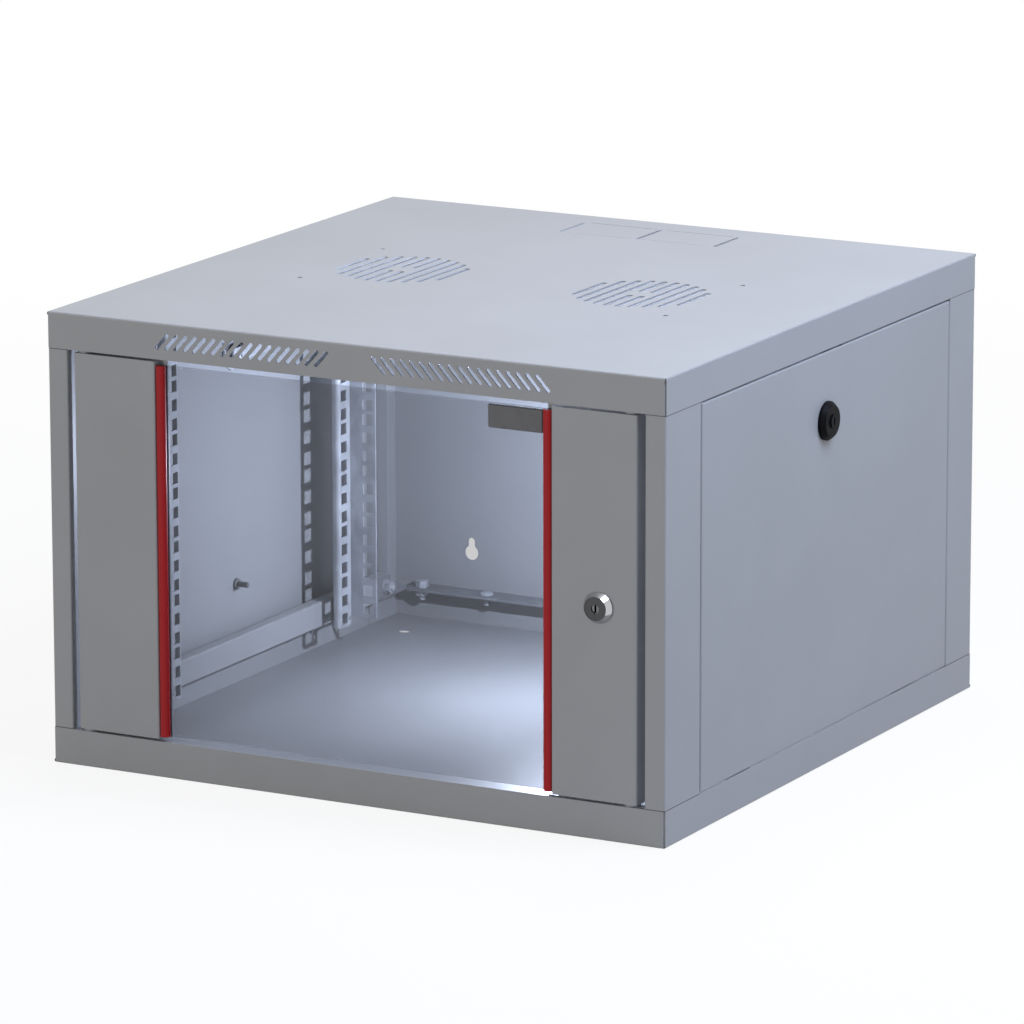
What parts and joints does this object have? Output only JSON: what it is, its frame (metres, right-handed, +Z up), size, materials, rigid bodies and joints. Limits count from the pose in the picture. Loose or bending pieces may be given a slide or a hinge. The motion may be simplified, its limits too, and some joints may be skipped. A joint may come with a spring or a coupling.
{
  "type": "wall mount network cabinet",
  "caption": "Wall mount rack cabinet for 19 inch equipment: folded steel case, framed glass door with a cam lock, lift-off side panels with key latches, slotted roof and inner rails.",
  "frame": {"origin": "centre of the underside of the bottom tray", "axes": "+X to the right seen from the front, +Y towards the wall, +Z up; the glass door is on the -Y side"},
  "size_m": [0.5648, 0.567, 0.37],
  "materials": {
    "body_paint": "fine satin powder coat, mid grey",
    "door_paint": "fine satin powder coat, mid grey",
    "rail_zinc": "bright zinc plate",
    "crossbar_zinc": "dull zinc plate",
    "fastener_zinc": "zinc plate",
    "stud_copper": "plated weld stud",
    "bush_nylon": "natural nylon",
    "latch_black": "black moulded plastic",
    "plug_metal": "nickel plate",
    "door_glass": "clear tempered glass",
    "tape_black": "black foam tape",
    "trim_red": "red plastic profile",
    "badge_grey": null,
    "lock_chrome": "polished chrome",
    "lock_dark": "dark face washer",
    "pin_steel": "bright steel"
  },
  "bodies": {
    "cabinet": {"top_cover": "body_paint", "bottom_tray": "body_paint", "back_wall": "body_paint", "front_post_left": "body_paint", "front_post_right": "body_paint", "carrier_lower_left": "body_paint", "carrier_lower_right": "body_paint", "carrier_upper_left": "body_paint", "carrier_upper_right": "body_paint", "rail_front_left": "rail_zinc", "rail_front_right": "rail_zinc", "rail_rear_left": "rail_zinc", "rail_rear_right": "rail_zinc", "crossbar_lower": "crossbar_zinc", "crossbar_upper": "crossbar_zinc", "crossbar_bolts": "fastener_zinc", "crossbar_washers": "fastener_zinc", "crossbar_nuts": "fastener_zinc", "carrier_screws": "fastener_zinc", "rail_screws": "fastener_zinc", "earth_bolt": "fastener_zinc", "earth_bolt_nut": "fastener_zinc", "cable_clamp_screw": "fastener_zinc", "hinge_bushes": "bush_nylon"},
    "door": {"door_stile_left": "door_paint", "door_stile_right": "door_paint", "door_glass": "door_glass", "door_tapes": "tape_black", "door_trim_left": "trim_red", "door_trim_right": "trim_red", "badge_plate": "badge_grey", "lock_body": "lock_chrome", "lock_face": "lock_dark", "lock_nut_ring": "fastener_zinc", "hinge_pin_lower": "pin_steel", "hinge_pin_bracket": "door_paint", "hinge_spring": "pin_steel"},
    "door_lock": {"lock_plug": "plug_metal", "lock_cam": "fastener_zinc", "lock_screw": "fastener_zinc"},
    "hinge_pin": {"hinge_pin_upper": "pin_steel"},
    "side_panel_l": {"side_panel_left": "body_paint", "earth_stud_left": "stud_copper", "latch_body_left": "latch_black", "latch_nut_left": "fastener_zinc"},
    "side_latch_l": {"latch_plug_left": "latch_black", "latch_cam_left": "fastener_zinc", "latch_screw_left": "fastener_zinc"},
    "side_panel_r": {"side_panel_right": "body_paint", "earth_stud_right": "stud_copper", "latch_body_right": "latch_black", "latch_nut_right": "fastener_zinc"},
    "side_latch_r": {"latch_plug_right": "latch_black", "latch_cam_right": "fastener_zinc", "latch_screw_right": "fastener_zinc"}
  },
  "joints": [
    {"name": "door_hinge", "type": "hinge", "parent": "cabinet", "child": "door", "pos_m": [-0.244, -0.27275, 0.185], "axis": [0, 0, -1], "range_deg": [0, 115]},
    {"name": "door_lock_turn", "type": "hinge", "parent": "door", "child": "door_lock", "pos_m": [0.218, -0.28025, 0.185], "axis": [0, -1, 0], "range_deg": [0, 90]},
    {"name": "hinge_pin_release", "type": "slide", "parent": "door", "child": "hinge_pin", "axis": [0, 0, -1], "range_m": [0, 0.007], "stiffness_N_per_m": 300, "springref_m": -0.01, "deforming": ["hinge_spring"]},
    {"name": "side_panel_left_tilt", "type": "hinge", "parent": "cabinet", "child": "side_panel_l", "pos_m": [-0.2752, 0, 0.02973], "axis": [0, -1, 0], "range_deg": [0, 15]},
    {"name": "side_latch_left_turn", "type": "hinge", "parent": "side_panel_l", "child": "side_latch_l", "pos_m": [-0.2752, 0, 0.283], "axis": [1, 0, 0], "range_deg": [0, 90]},
    {"name": "side_panel_right_tilt", "type": "hinge", "parent": "cabinet", "child": "side_panel_r", "pos_m": [0.2752, 0, 0.02973], "axis": [0, 1, 0], "range_deg": [0, 15]},
    {"name": "side_latch_right_turn", "type": "hinge", "parent": "side_panel_r", "child": "side_latch_r", "pos_m": [0.2752, 0, 0.283], "axis": [1, 0, 0], "range_deg": [0, 90]}
  ]
}
